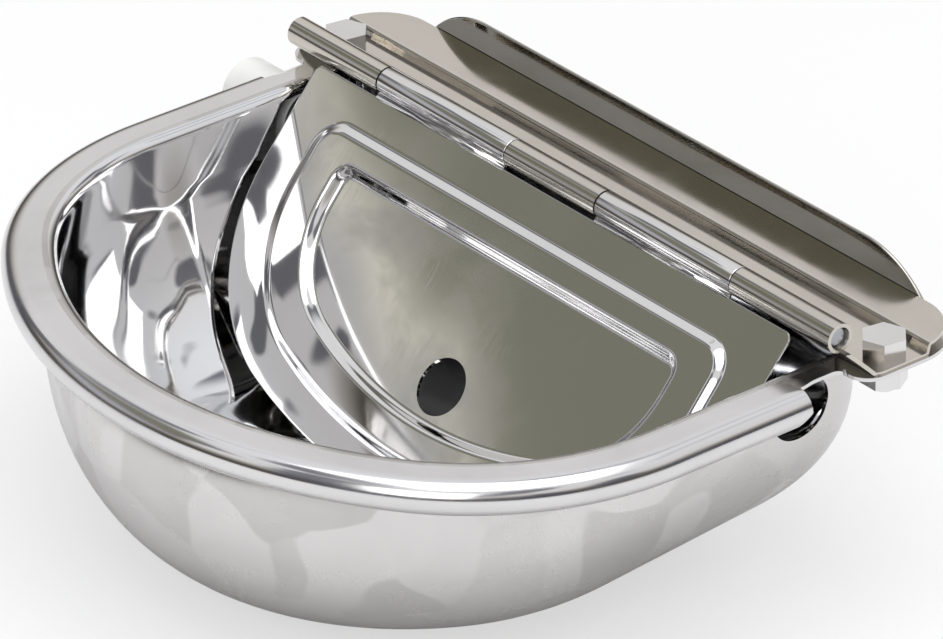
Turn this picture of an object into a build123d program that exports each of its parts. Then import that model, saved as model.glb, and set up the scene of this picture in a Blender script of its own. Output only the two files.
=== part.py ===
from build123d import *
from math import atan2, cos, degrees, radians, sin
import os

# Livestock drinking bowl with a float valve behind a hinged cover.
# Millimetres. X runs along the hinge, -Y points away from the wall, +Z is up.
# The origin is on the wall face, in the middle of the bowl, at the height of the hinge axis.

# ---- sheet metal and clearances
sheet = 1.2
bend = 1.6
knuckle_gap = 0.5
running_gap = 0.1
slip_gap = 0.3
seam_overlap = 0.5

# ---- hinge
pin_dia = 7.0
pin_recess = 1.5
hinge_overhang = 11.2
seam_outer = 86.6
seam_inner = 21.8
hinge_to_wall = 45.6

# ---- rim and rear flange
rim_drop = 11.8
rim_land = 16.5
rim_roll = 3.6
skirt_roll = 3.6
skirt_height = 6.6
skirt_end = 15.0
flange_margin = 0.7
ear_setback = 1.5
flange_corner = 10.0
flange_rear_corner = 20.0
neck_overhang = 9.5
lip_height = 15.0
lip_overhang = 8.0
lip_round = 37.0

# ---- drawn bowl
half_width = 121.0
front_reach = 95.0
belly_setback = 65.0
front_flat = 13.0
rear_reach = 31.0
rear_corner = 24.0
bowl_depth = 88.0
base_tilt = 7.0
draft_inset = 2.0
side_round = 62.0
front_round = 46.0
rear_round = 32.0
round_depth = 40.0
round_steps = 6

# ---- inlets
inlet_dia = 22.0
inlet_setback = 4.3
inlet_drop = 28.2

# ---- hinge bracket
bracket_overhang = 9.3
bracket_corner = 12.0
ledge_corner = 19.0
valley_front = 6.5
valley_back = 27.4
crest_back = 28.4
ledge_drop = 7.4

# ---- clamp bolts, M8
bolt_edge = 10.0
bolt_back = 18.2
bolt_dia = 8.0
bolt_hole = 9.0
bolt_flats = 13.0
bolt_head_height = 5.3
bolt_turn = 20.0
washer_dia = 14.6
washer_thick = 1.6
nut_height = 6.5
bolt_stick_out = 2.0

# ---- cover
cover_slope = 49.5
cover_side_gap = 4.8
cover_top = 6.0
cover_bottom = 113.0
cover_belly = 41.5
cover_flat = 8.0
cover_corner = 3.0
panel_margin = 15.2
panel_top = 17.6
panel_bottom = 103.0
panel_corner = 12.0
panel_rise = 1.8
recess_margin = 16.6
recess_top = 28.6
recess_bottom = 89.6
recess_corner = 7.0
recess_depth = 3.2
press_draft = 40.0
level_hole = 19.2
level_hole_down = 74.3

# ---- float valve body with a half-inch tail
thread_dia = 20.955
relief_width = 1.5
relief_depth = 0.6
spigot_length = 18.0
tail_bore = 13.0
gasket_thick = 2.0
gasket_dia = 25.0
valve_flange_thick = 4.0
locknut_flats = 27.0
locknut_height = 14.0
slip_washer_thick = 1.5
barrel_dia = 18.0
barrel_length = 18.0
cheek_thick = 3.0
cheek_length = 16.0
cheek_height = 19.0
spout_length = 6.0

# ---- valve seat, plunger and seal
seat_dia = 12.0
seat_length = 6.0
seat_tip_dia = 6.0
seat_tip_length = 2.0
seat_bore = 3.2
seat_open = 2.1
seal_dia = 8.0
seal_thick = 2.0
plunger_dia = 9.6
plunger_length = 9.0
button_dia = 3.4
button_length = 2.0
plunger_proud = 2.0

# ---- float lever and float
lever_width = 10.0
lever_eye = 8.0
lever_pin_dia = 3.0
pivot_drop = 8.0
finger_thick = 4.0
finger_height = 13.0
arm_thick = 3.0
arm_length = 72.0
adjuster_dia = 4.0
adjuster_length = 12.0
adjuster_gap = 0.5
adjuster_proud = 0.8
lever_pin_proud = 1.0
adjuster_nut_flats = 7.0
adjuster_nut_height = 2.4
float_dia = 34.0
float_length = 74.0
float_chamfer = 10.0
float_chamfer_in = 5.0
float_offset = 48.0
float_drop = 22.5
boss_dia = 9.0
float_screw_pitch = 30.0
float_screw_dia = 4.0
float_screw_head = 7.4
float_screw_grip = 12.0

# ---- derived values shared between pieces
hinge_half = half_width + hinge_overhang
bracket_half = hinge_half + bracket_overhang
flange_half = bracket_half + flange_margin
flange_neck = half_width + neck_overhang
lip_half = half_width + lip_overhang
bolt_half = bracket_half - bolt_edge
cover_half = half_width - cover_side_gap
panel_half = cover_half - panel_margin
recess_half = panel_half - recess_margin
knuckle_bore = pin_dia + 2 * running_gap
knuckle_dia = knuckle_bore + 2 * sheet
hinge_y = -hinge_to_wall
rim_z = -rim_drop
belly_y = hinge_y - belly_setback
rear_y = hinge_y + rear_reach
inlet_y = hinge_y - inlet_setback
inlet_z = -inlet_drop
bolt_y = hinge_y + bolt_back
seat_z = rim_z + sheet
wall_top = rim_drop + rim_roll
roll_x = rim_roll - sheet
wall_end = bowl_depth - round_depth
inlet_wall = half_width - draft_inset * (inlet_drop - wall_top) / (wall_end - wall_top)
inlet_lean = degrees(atan2(draft_inset, wall_end - wall_top))
locknut_end = -inlet_wall - slip_washer_thick - locknut_height
spigot_x = locknut_end - relief_width
tail_end = spigot_x - spigot_length
valve_flange_x = -(inlet_wall - sheet - gasket_thick)
barrel_x = valve_flange_x + valve_flange_thick
barrel_end = barrel_x + barrel_length
plunger_end = barrel_end + plunger_proud
button_end = plunger_end + button_length
plunger_x = plunger_end - plunger_length
seal_x = plunger_x - seal_thick
seat_tip_x = seal_x - seat_open
seat_x = seat_tip_x - seat_tip_length
adjuster_x = button_end + adjuster_gap
pivot_x = adjuster_x + adjuster_proud + finger_thick / 2
pivot_z = inlet_z - pivot_drop
float_x = pivot_x + float_offset
float_z = pivot_z - float_drop
ear_y = hinge_y + ear_setback
neck_end_y = ear_y + flange_corner
bracket_front_y = hinge_y - sheet
skirt_end_y = hinge_y - skirt_end
ledge_z = -ledge_drop - sheet
bolt_length = 2 * sheet + washer_thick + nut_height + bolt_stick_out
cheek_span = lever_width + 2 * slip_gap + 2 * cheek_thick
knuckle_length = seam_outer - seam_inner - 2 * knuckle_gap
screw_end_z = pivot_z - arm_thick / 2 - float_screw_grip
bolt_places = ((bolt_half, bolt_y), (-bolt_half, bolt_y))
screw_places = ((float_x - float_screw_pitch / 2, inlet_y), (float_x + float_screw_pitch / 2, inlet_y))
cover_plane = Plane(
    origin=(0, hinge_y, 0),
    x_dir=(1, 0, 0),
    z_dir=(0, -sin(radians(cover_slope)), cos(radians(cover_slope))),
)


def front_arcs(half, reach, flat, centre=0):
    """Front of a D outline about its belly line: a long arc between two side arcs, all tangent."""
    side_radius = reach - flat
    offset_x = half - side_radius
    front_radius = (offset_x**2 + reach**2 - side_radius**2) / (2 * flat)
    turn = degrees(atan2(offset_x, front_radius - reach))
    CenterArc((0, centre + front_radius - reach), front_radius, -90 - turn, 2 * turn)
    CenterArc((offset_x, centre), side_radius, turn - 90, 90 - turn)
    CenterArc((-offset_x, centre), side_radius, 180, 90 - turn)


def d_outline(half, reach, flat, rear, corner, centre=0):
    """Closed D outline: the front arcs, two straight sides and a straight rear with round corners."""
    front_arcs(half, reach, flat, centre)
    Line((half, centre), (half, rear - corner))
    CenterArc((half - corner, rear - corner), corner, 0, 90)
    Line((half - corner, rear), (corner - half, rear))
    CenterArc((corner - half, rear - corner), corner, 90, 90)
    Line((-half, rear - corner), (-half, centre))


def half_outline(start_y):
    """Right half of the wall line from a point on the straight side, or from the rear middle, to the front."""
    corner_x = half_width - rear_corner
    side_radius = front_reach - front_flat
    offset_x = half_width - side_radius
    front_radius = (offset_x**2 + front_reach**2 - side_radius**2) / (2 * front_flat)
    turn = degrees(atan2(offset_x, front_radius - front_reach))
    side_start = start_y
    if start_y >= rear_y:
        side_start = rear_y - rear_corner
        Line((0, rear_y, rim_z), (corner_x, rear_y, rim_z))
        CenterArc((corner_x, side_start, rim_z), rear_corner, 90, -90)
    Line((half_width, side_start, rim_z), (half_width, belly_y, rim_z))
    CenterArc((offset_x, belly_y, rim_z), side_radius, 0, turn - 90)
    CenterArc((0, belly_y + front_radius - front_reach, rim_z), front_radius, turn - 90, -turn)


def tilted_plane(depth, angle):
    """Plane `depth` below the hinge axis at the belly line, rising towards the wall by `angle`."""
    return Plane(origin=(0, belly_y, -depth), x_dir=(1, 0, 0), z_dir=(0, -sin(angle), cos(angle)))


def bowl_section(depth, inset, side, front, rear):
    """One level of the drawn bowl, inset by the draft and by the round towards the base."""
    angle = radians(base_tilt) * (depth - wall_top) / (bowl_depth - wall_top)
    half = half_width - inset - side
    reach = front_reach - inset - front
    back = rear_y - belly_y - inset - rear
    with BuildSketch(tilted_plane(depth, angle)) as section:
        with BuildLine():
            d_outline(half, reach, front_flat, back, rear_corner - inset + rear / 3)
        make_face()
    return section.sketch.faces()[0]


def bowl_sections(skin):
    """Levels of a drafted wall that rounds over into a base rising to the rear, `skin` inside the outer face."""
    sections = [bowl_section(wall_top, skin, 0, 0, 0)]
    for step in range(round_steps + 1):
        angle = radians(90 * step / round_steps)
        turn = 1 - cos(angle)
        level = wall_end + (round_depth - skin) * sin(angle)
        rounds = (side_round * turn, front_round * turn, rear_round * turn)
        sections.append(bowl_section(level, skin + draft_inset, *rounds))
    return sections


def rod(start, end, dia, mode=Mode.ADD, z=inlet_z, y=inlet_y):
    """Round bar along X between two positions, on the inlet axis unless told otherwise."""
    with Locations(Location(((start + end) / 2, y, z), (0, 90, 0))):
        Cylinder(dia / 2, abs(end - start), mode=mode)


# ---- bowl: drawn shell, rolled rim with a skirt, ear flange and wall lip in one sheet
with BuildPart() as bowl_cavity:
    loft(bowl_sections(sheet), ruled=True)

with BuildPart() as bowl_block:
    loft(bowl_sections(0), ruled=True)

with BuildPart() as rim_ring:
    with BuildLine() as ring_path:
        half_outline(rear_y)
    with BuildSketch(Plane(origin=(0, rear_y, rim_z), x_dir=(0, 1, 0), z_dir=(1, 0, 0))):
        with BuildLine():
            CenterArc((roll_x, -rim_roll), rim_roll, 90, 90)
            Line((-sheet, -rim_roll), (0, -rim_roll))
            CenterArc((roll_x, -rim_roll), rim_roll - sheet, 90, 90)
            Polyline((roll_x, -sheet), (rim_roll, -sheet), (rim_roll, 0), (roll_x, 0))
        make_face()
    sweep(path=ring_path.line)
    mirror(about=Plane.YZ)

with BuildPart() as rim_skirt:
    with BuildLine() as skirt_path:
        half_outline(skirt_end_y)
    with BuildSketch(Plane(origin=(half_width, skirt_end_y, rim_z), x_dir=(1, 0, 0), z_dir=(0, -1, 0))):
        with BuildLine():
            FilletPolyline((rim_roll - seam_overlap, 0), (rim_land, 0), (rim_land, -skirt_height), radius=skirt_roll)
            offset(amount=sheet, side=Side.RIGHT)
        make_face()
    sweep(path=skirt_path.line)
    mirror(about=Plane.YZ)

with BuildPart() as bowl:
    add(bowl_block.part)
    add(bowl_cavity.part, mode=Mode.SUBTRACT)
    add(rim_ring.part)
    add(rim_skirt.part)
    with BuildSketch(Plane.XY.offset(rim_z)) as flange_outline:
        with Locations((0, ear_y / 2)):
            Rectangle(2 * flange_half, -ear_y)
        fillet(flange_outline.vertices().group_by(Axis.Y)[0], flange_corner)
        fillet(flange_outline.vertices().group_by(Axis.Y)[-1], flange_rear_corner)
        with Locations((0, (neck_end_y + skirt_end_y) / 2)):
            Rectangle(2 * flange_neck, neck_end_y - skirt_end_y)
        with BuildLine():
            ring_out = rim_roll - seam_overlap
            d_outline(half_width + ring_out, front_reach, front_flat, rear_y + ring_out, rear_corner, belly_y)
        make_face(mode=Mode.SUBTRACT)
    extrude(amount=-sheet)
    with BuildSketch(Plane.XZ):
        with Locations((0, rim_z + lip_height - lip_round - sheet / 2)):
            RectangleRounded(2 * lip_half, 2 * lip_round + sheet, lip_round)
        with Locations((0, rim_z + (lip_height - sheet) / 2)):
            Rectangle(2 * lip_half, lip_height + sheet, mode=Mode.INTERSECT)
    extrude(amount=sheet)
    for side in (-1, 1):
        with Locations(Location((side * inlet_wall, inlet_y, inlet_z), (0, side * (90 + inlet_lean), 0))):
            Cylinder(inlet_dia / 2, 4 * sheet, mode=Mode.SUBTRACT)
    with BuildSketch(Plane.XY.offset(rim_z)):
        with Locations(*bolt_places):
            Circle(bolt_hole / 2)
    extrude(amount=-sheet, mode=Mode.SUBTRACT)

# ---- hinge bracket: three knuckles, a valley for the bolts, a crest and a flat ledge
with BuildPart() as hinge_bracket:
    with BuildSketch(Plane.YZ):
        with BuildLine():
            FilletPolyline(
                (hinge_y, -knuckle_dia / 2),
                (hinge_y + valley_front, rim_z),
                (hinge_y + valley_back, rim_z),
                (hinge_y + crest_back, ledge_z),
                (-sheet - slip_gap, ledge_z),
                radius=(bend, bend / 4, bend / 4),
            )
            offset(amount=sheet, side=Side.LEFT)
        make_face()
    extrude(amount=bracket_half, both=True)
    with BuildSketch(Plane.XY.offset(rim_z - sheet)) as bracket_outline:
        with Locations((0, (bracket_front_y - sheet - slip_gap) / 2)):
            Rectangle(2 * bracket_half, -bracket_front_y - sheet - slip_gap)
        fillet(bracket_outline.vertices().group_by(Axis.Y)[0], bracket_corner)
        fillet(bracket_outline.vertices().group_by(Axis.Y)[-1], ledge_corner)
    extrude(amount=knuckle_dia * 2, mode=Mode.INTERSECT)
    rod(-hinge_half, hinge_half, knuckle_dia, z=0, y=hinge_y)
    for side in (-1, 1):
        middle = side * (seam_inner + seam_outer) / 2
        with Locations((middle, hinge_y, 0)):
            Box(seam_outer - seam_inner, 2 * valley_front, 2 * knuckle_dia, mode=Mode.SUBTRACT)
    rod(-hinge_half, hinge_half, knuckle_bore, z=0, y=hinge_y, mode=Mode.SUBTRACT)
    with BuildSketch(Plane.XY.offset(rim_z)):
        with Locations(*bolt_places):
            Circle(bolt_hole / 2)
    extrude(amount=2 * sheet, mode=Mode.SUBTRACT)

with BuildPart() as hinge_pin:
    rod(-hinge_half + pin_recess, hinge_half - pin_recess, pin_dia, z=0, y=hinge_y)
    chamfer(hinge_pin.edges().filter_by(GeomType.CIRCLE), pin_dia / 10)

# ---- clamp bolts with their washers and nuts
with BuildPart() as bracket_bolts:
    with BuildSketch(Plane.XY.offset(seat_z)):
        with Locations(*bolt_places):
            RegularPolygon(bolt_flats / 2, 6, major_radius=False, rotation=bolt_turn)
    extrude(amount=bolt_head_height)
    with BuildSketch(Plane.XY.offset(seat_z)):
        with Locations(*bolt_places):
            Circle(bolt_dia / 2)
    extrude(amount=-bolt_length)

with BuildPart() as bracket_washers:
    with BuildSketch(Plane.XY.offset(rim_z - sheet)):
        with Locations(*bolt_places):
            Circle(washer_dia / 2)
            Circle(bolt_hole / 2, mode=Mode.SUBTRACT)
    extrude(amount=-washer_thick)

with BuildPart() as bracket_nuts:
    with BuildSketch(Plane.XY.offset(rim_z - sheet - washer_thick)):
        with Locations(*bolt_places):
            RegularPolygon(bolt_flats / 2, 6, major_radius=False)
            Circle(bolt_dia / 2, mode=Mode.SUBTRACT)
    extrude(amount=-nut_height)


# ---- cover: flat plate on two knuckles, one raised stage and a recess with the level hole
with BuildPart() as cover:
    with BuildSketch(cover_plane) as plate:
        with BuildLine():
            d_outline(cover_half, cover_bottom - cover_belly, cover_flat, -cover_top, cover_corner, -cover_belly)
        make_face()
        for side in (-1, 1):
            with Locations((side * (seam_inner + seam_outer) / 2, -cover_top)):
                Rectangle(knuckle_length, 2 * (cover_top - knuckle_dia / 2 + sheet / 2))
    extrude(amount=sheet)
    with BuildSketch(cover_plane) as raised_foot:
        with BuildLine():
            d_outline(panel_half, panel_bottom - cover_belly, cover_flat, -panel_top, panel_corner, -cover_belly)
        make_face()
    extrude(amount=sheet + panel_rise, taper=press_draft)
    with BuildSketch(cover_plane.offset(-sheet)) as raised_inside:
        with BuildLine():
            d_outline(panel_half, panel_bottom - cover_belly, cover_flat, -panel_top, panel_corner, -cover_belly)
        make_face()
    extrude(amount=sheet + panel_rise, taper=press_draft, mode=Mode.SUBTRACT)
    with BuildSketch(cover_plane.offset(sheet + panel_rise)) as recess_foot:
        with BuildLine():
            d_outline(recess_half, recess_bottom - cover_belly, cover_flat, -recess_top, recess_corner, -cover_belly)
        make_face()
    extrude(amount=-recess_depth - sheet, taper=press_draft)
    with BuildSketch(cover_plane.offset(2 * sheet + panel_rise)) as recess_inside:
        with BuildLine():
            d_outline(recess_half, recess_bottom - cover_belly, cover_flat, -recess_top, recess_corner, -cover_belly)
        make_face()
    extrude(amount=-recess_depth - sheet, taper=press_draft, mode=Mode.SUBTRACT)
    with BuildSketch(cover_plane.offset(-knuckle_dia)):
        with Locations((0, -level_hole_down)):
            Circle(level_hole / 2)
    extrude(amount=2 * knuckle_dia, mode=Mode.SUBTRACT)
    for side in (-1, 1):
        middle = side * (seam_inner + seam_outer) / 2
        rod(middle - knuckle_length / 2, middle + knuckle_length / 2, knuckle_dia, z=0, y=hinge_y)
    rod(-hinge_half, hinge_half, knuckle_bore, z=0, y=hinge_y, mode=Mode.SUBTRACT)

# ---- float valve body: threaded tail, flange, barrel with a spout and two cheeks for the lever
with BuildPart() as valve_body:
    rod(tail_end, valve_flange_x, thread_dia)
    rod(spigot_x, locknut_end, thread_dia, mode=Mode.SUBTRACT)
    rod(spigot_x, locknut_end, thread_dia - 2 * relief_depth)
    rod(valve_flange_x, barrel_x, gasket_dia)
    rod(barrel_x, barrel_end, barrel_dia)
    with BuildSketch(Plane.XZ.offset(-inlet_y)):
        with Locations((barrel_end - seat_length + cheek_length / 2, inlet_z + barrel_dia / 3 - cheek_height / 2)):
            RectangleRounded(cheek_length + seat_length, cheek_height, cheek_thick)
    extrude(amount=cheek_span / 2, both=True)
    rod(tail_end, seat_x - seat_length, tail_bore, mode=Mode.SUBTRACT)
    rod(seat_x - seat_length, seat_x + seat_tip_length, seat_dia, mode=Mode.SUBTRACT)
    rod(seat_x, barrel_end, plunger_dia + 2 * slip_gap, mode=Mode.SUBTRACT)
    with Locations((barrel_end + cheek_length, inlet_y, pivot_z)):
        Box(2 * cheek_length, lever_width + 2 * slip_gap, 4 * cheek_height, mode=Mode.SUBTRACT)
    with Locations((seat_tip_x + spout_length / 2, inlet_y, inlet_z - barrel_dia / 2)):
        Box(spout_length, seat_tip_dia, barrel_dia, mode=Mode.SUBTRACT)
    with Locations(Location((pivot_x, inlet_y, pivot_z), (90, 0, 0))):
        Cylinder(lever_pin_dia / 2, 2 * barrel_dia, mode=Mode.SUBTRACT)

with BuildPart() as inlet_gasket:
    rod(-inlet_wall, valve_flange_x, gasket_dia)
    add(bowl_cavity.part, mode=Mode.INTERSECT)
    rod(-inlet_wall, valve_flange_x, thread_dia, mode=Mode.SUBTRACT)

with BuildPart() as inlet_washer:
    rod(-inlet_wall - slip_washer_thick, -inlet_wall + sheet / 2, gasket_dia)
    add(bowl_block.part, mode=Mode.SUBTRACT)
    add(bowl.part, mode=Mode.SUBTRACT)
    rod(tail_end, valve_flange_x, thread_dia, mode=Mode.SUBTRACT)

with BuildPart() as inlet_locknut:
    with BuildSketch(Plane.YZ.offset(-inlet_wall - slip_washer_thick)):
        with Locations((inlet_y, inlet_z)):
            RegularPolygon(locknut_flats / 2, 6, major_radius=False)
            Circle(thread_dia / 2, mode=Mode.SUBTRACT)
    extrude(amount=-locknut_height)

# ---- seat, plunger and seal inside the barrel
with BuildPart() as valve_seat:
    rod(seat_x - seat_length, seat_x, seat_dia)
    rod(seat_x, seat_tip_x, seat_tip_dia)
    rod(seat_x - seat_length, seat_tip_x, seat_bore, mode=Mode.SUBTRACT)

with BuildPart() as plunger_seal:
    rod(seal_x, plunger_x, seal_dia)

with BuildPart() as plunger:
    rod(plunger_x, plunger_end, plunger_dia)
    rod(plunger_end, button_end, button_dia)

# ---- lever with its finger, pivot pin and adjusting screw
with BuildPart() as float_lever:
    with BuildSketch(Plane.XZ.offset(-inlet_y)):
        with Locations((pivot_x, pivot_z)):
            Circle(lever_eye / 2)
        with Locations((pivot_x, pivot_z + finger_height / 2)):
            Rectangle(finger_thick, finger_height)
        with Locations((pivot_x + arm_length / 2, pivot_z)):
            Rectangle(arm_length, arm_thick)
    extrude(amount=lever_width / 2, both=True)
    with Locations(Location((pivot_x, inlet_y, pivot_z), (90, 0, 0))):
        Cylinder(lever_pin_dia / 2 + running_gap, lever_width, mode=Mode.SUBTRACT)
    rod(pivot_x - finger_thick, pivot_x + finger_thick, adjuster_dia, mode=Mode.SUBTRACT)
    with Locations(*screw_places):
        with Locations((0, 0, pivot_z)):
            Cylinder(float_screw_dia / 2, 2 * arm_thick, mode=Mode.SUBTRACT)

with BuildPart() as lever_pin:
    with Locations(Location((pivot_x, inlet_y, pivot_z), (90, 0, 0))):
        Cylinder(lever_pin_dia / 2, cheek_span + 2 * lever_pin_proud)

with BuildPart() as adjusting_screw:
    rod(adjuster_x, adjuster_x + adjuster_length, adjuster_dia)

with BuildPart() as adjusting_nut:
    with BuildSketch(Plane.YZ.offset(pivot_x + finger_thick / 2)):
        with Locations((inlet_y, inlet_z)):
            RegularPolygon(adjuster_nut_flats / 2, 6, major_radius=False)
            Circle(adjuster_dia / 2, mode=Mode.SUBTRACT)
    extrude(amount=adjuster_nut_height)

# ---- float with two bosses that carry it under the arm
with BuildPart() as float_body:
    rod(float_x - float_length / 2, float_x + float_length / 2, float_dia, z=float_z)
    chamfer(float_body.edges().filter_by(GeomType.CIRCLE), float_chamfer, float_chamfer_in)
    with Locations(*screw_places):
        with Locations((0, 0, (float_z + pivot_z - arm_thick / 2) / 2)):
            Cylinder(boss_dia / 2, pivot_z - arm_thick / 2 - float_z)
    with Locations(*screw_places):
        with Locations((0, 0, screw_end_z + float_screw_grip / 2)):
            Cylinder(float_screw_dia / 2, float_screw_grip, mode=Mode.SUBTRACT)

with BuildPart() as float_screws:
    with BuildSketch(Plane.XY.offset(pivot_z + arm_thick / 2)):
        with Locations(*screw_places):
            Circle(float_screw_head / 2)
    extrude(amount=arm_thick)
    with BuildSketch(Plane.XY.offset(pivot_z + arm_thick / 2)):
        with Locations(*screw_places):
            Circle(float_screw_dia / 2)
    extrude(amount=-float_screw_grip - arm_thick)

os.makedirs("parts", exist_ok=True)
bowl.part.label = "bowl"
hinge_bracket.part.label = "hinge_bracket"
hinge_pin.part.label = "hinge_pin"
bracket_bolts.part.label = "bracket_bolts"
bracket_washers.part.label = "bracket_washers"
bracket_nuts.part.label = "bracket_nuts"
cover.part.label = "cover"
valve_body.part.label = "valve_body"
inlet_gasket.part.label = "inlet_gasket"
inlet_washer.part.label = "inlet_washer"
inlet_locknut.part.label = "inlet_locknut"
valve_seat.part.label = "valve_seat"
plunger_seal.part.label = "plunger_seal"
plunger.part.label = "plunger"
float_lever.part.label = "float_lever"
lever_pin.part.label = "lever_pin"
adjusting_screw.part.label = "adjusting_screw"
adjusting_nut.part.label = "adjusting_nut"
float_body.part.label = "float_body"
float_screws.part.label = "float_screws"
export_step(bowl.part, "parts/bowl.step")
export_step(hinge_bracket.part, "parts/hinge_bracket.step")
export_step(hinge_pin.part, "parts/hinge_pin.step")
export_step(bracket_bolts.part, "parts/bracket_bolts.step")
export_step(bracket_washers.part, "parts/bracket_washers.step")
export_step(bracket_nuts.part, "parts/bracket_nuts.step")
export_step(cover.part, "parts/cover.step")
export_step(valve_body.part, "parts/valve_body.step")
export_step(inlet_gasket.part, "parts/inlet_gasket.step")
export_step(inlet_washer.part, "parts/inlet_washer.step")
export_step(inlet_locknut.part, "parts/inlet_locknut.step")
export_step(valve_seat.part, "parts/valve_seat.step")
export_step(plunger_seal.part, "parts/plunger_seal.step")
export_step(plunger.part, "parts/plunger.step")
export_step(float_lever.part, "parts/float_lever.step")
export_step(lever_pin.part, "parts/lever_pin.step")
export_step(adjusting_screw.part, "parts/adjusting_screw.step")
export_step(adjusting_nut.part, "parts/adjusting_nut.step")
export_step(float_body.part, "parts/float_body.step")
export_step(float_screws.part, "parts/float_screws.step")
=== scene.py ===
# %% [markdown]
# # Livestock drinking bowl
# The drinker is pressed and drawn from stainless sheet: a deep bowl with a rolled rim, a flange that
# turns up against the wall, a hinge bracket held by two bolts, and a sloping cover that hides a float
# valve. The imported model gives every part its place. This lesson gives the drawn and pressed sheets
# smooth surfaces of their own, because a mirror finish shows every facet, and dresses all the rest.

from math import atan2, cos, degrees, pi, radians, sin, sqrt

import bmesh
import bpy
import numpy as np
from mathutils import Matrix, Vector


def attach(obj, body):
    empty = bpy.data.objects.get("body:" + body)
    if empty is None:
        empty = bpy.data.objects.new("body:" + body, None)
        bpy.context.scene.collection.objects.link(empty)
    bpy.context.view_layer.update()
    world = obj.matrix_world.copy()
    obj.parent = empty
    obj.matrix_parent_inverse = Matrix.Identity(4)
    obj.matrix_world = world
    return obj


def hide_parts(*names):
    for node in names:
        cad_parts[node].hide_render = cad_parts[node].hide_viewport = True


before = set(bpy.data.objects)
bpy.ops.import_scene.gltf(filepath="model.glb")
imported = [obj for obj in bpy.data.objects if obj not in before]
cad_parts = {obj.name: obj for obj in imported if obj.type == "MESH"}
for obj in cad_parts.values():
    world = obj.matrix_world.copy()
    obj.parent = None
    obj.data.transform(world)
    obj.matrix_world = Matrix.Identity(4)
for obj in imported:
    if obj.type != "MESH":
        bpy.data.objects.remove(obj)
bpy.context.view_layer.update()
MM = 0.001

# %% [markdown]
# ## Sizes the sheets share
# Every sheet is 1.2 mm thick. The origin lies on the wall face at the height of the hinge axis, so the
# hinge is 45.6 mm in front of it. Depths are counted down from the hinge axis: the wall runs from WALL_TOP to
# WALL_END, and ROUNDS says how far the round below it comes in at the sides, the front and the rear. All
# values are in millimetres here, and a surface is scaled to metres when its mesh is made.

# %% Sizes in millimetres
SHEET = 1.2
HINGE_Y = -45.6
RIM_Z = -11.8
HALF_WIDTH = 121.0
FRONT_REACH = 95.0
FRONT_FLAT = 13.0
BELLY_Y = HINGE_Y - 65.0
REAR_Y = HINGE_Y + 31.0
REAR_REACH = REAR_Y - BELLY_Y
REAR_CORNER = 24.0
RIM_ROLL = 3.6
RIM_LAND = 16.5
SKIRT_ROLL = 6.0
SKIRT_HEIGHT = 10.6
SKIRT_LEAN = 2.4
SKIRT_END_Y = HINGE_Y - 15.0
WALL_TOP = 15.4
WALL_END = 32.6
BOWL_DEPTH = 87.5
ROUND_DEPTH = 54.9
DRAFT = 2.0
FRONT_SWELL = 11.6
ROUNDS = (49.0, 44.0, 25.6)
BASE_TILT = radians(5.5)
print("rim", 2 * (HALF_WIDTH + RIM_LAND), "mm wide, base", BOWL_DEPTH, "mm under the hinge axis")

# %% [markdown]
# ## Meshes from numpy grids
# A drawn sheet is a grid of points: one direction runs round the outline, the other across the profile.
# One helper turns any such grid into a mesh with smooth shading, and closes it round the outline when it
# is a ring. Solidify then gives the sheet its thickness, as the real blank has.

# %% Grid to mesh
def add_object(name, data):
    """New object for a mesh, lamp or camera, linked to the scene."""
    made = bpy.data.objects.new(name, data)
    bpy.context.scene.collection.objects.link(made)
    return made


def grid_object(name, grid, around=False, pole=False):
    """Mesh from a grid (rows, columns, 3) in millimetres: cell (i, j) joins rows i, i+1 and columns j, j+1.
    `around` joins the last column to the first, and `pole` closes the last row with one fan."""
    rows, columns, _ = grid.shape
    index = np.arange(rows * columns).reshape(rows, columns)
    right = np.roll(index, -1, axis=1) if around else index[:, 1:]
    left = index if around else index[:, :-1]
    quads = np.stack([left[:-1], right[:-1], right[1:], left[1:]], -1).reshape(-1, 4)
    points = grid.reshape(-1, 3) * MM
    faces = quads.tolist()
    if pole:
        points = np.vstack([points, grid[-1].mean(0) * MM])
        centre = len(points) - 1
        faces += np.stack([left[-1], right[-1], np.full(len(left[-1]), centre)], -1).tolist()
    mesh = bpy.data.meshes.new(name)
    mesh.from_pydata(points.tolist(), [], faces)
    mesh.polygons.foreach_set("use_smooth", np.ones(len(mesh.polygons), bool))
    mesh.update()
    return add_object(name, mesh)


def finish_mesh(piece):
    """Applies the modifiers: the evaluated mesh becomes the piece's own mesh."""
    graph = bpy.context.evaluated_depsgraph_get()
    made = bpy.data.meshes.new_from_object(piece.evaluated_get(graph))
    made.name = piece.name
    piece.modifiers.clear()
    piece.data = made
    return piece


def thicken(piece, thickness, offset=-1.0):
    """Gives a sheet its thickness in millimetres, to one side of its surface."""
    wall = piece.modifiers.new("sheet", "SOLIDIFY")
    wall.thickness = thickness * MM
    wall.offset = offset
    wall.use_even_offset = True
    return finish_mesh(piece)


def recalculate(piece):
    """Turns every face outwards after doubles are merged."""
    work = bmesh.new()
    work.from_mesh(piece.data)
    bmesh.ops.remove_doubles(work, verts=work.verts, dist=1e-6)
    bmesh.ops.recalc_face_normals(work, faces=work.faces)
    work.to_mesh(piece.data)
    work.free()
    return piece


def cut(piece, cutter):
    """Takes the cutter's volume out of the piece and deletes the cutter."""
    hole = piece.modifiers.new("hole", "BOOLEAN")
    hole.operation = "DIFFERENCE"
    hole.solver = "EXACT"
    hole.object = cutter
    finish_mesh(piece)
    bpy.data.objects.remove(cutter)
    return piece


def smooth_by_angle(piece, angle=30.0):
    """Smooth shading everywhere, with edges sharper than the angle kept crisp."""
    piece.data.polygons.foreach_set("use_smooth", np.ones(len(piece.data.polygons), bool))
    piece.data.set_sharp_from_angle(angle=radians(angle))
    return piece


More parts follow.
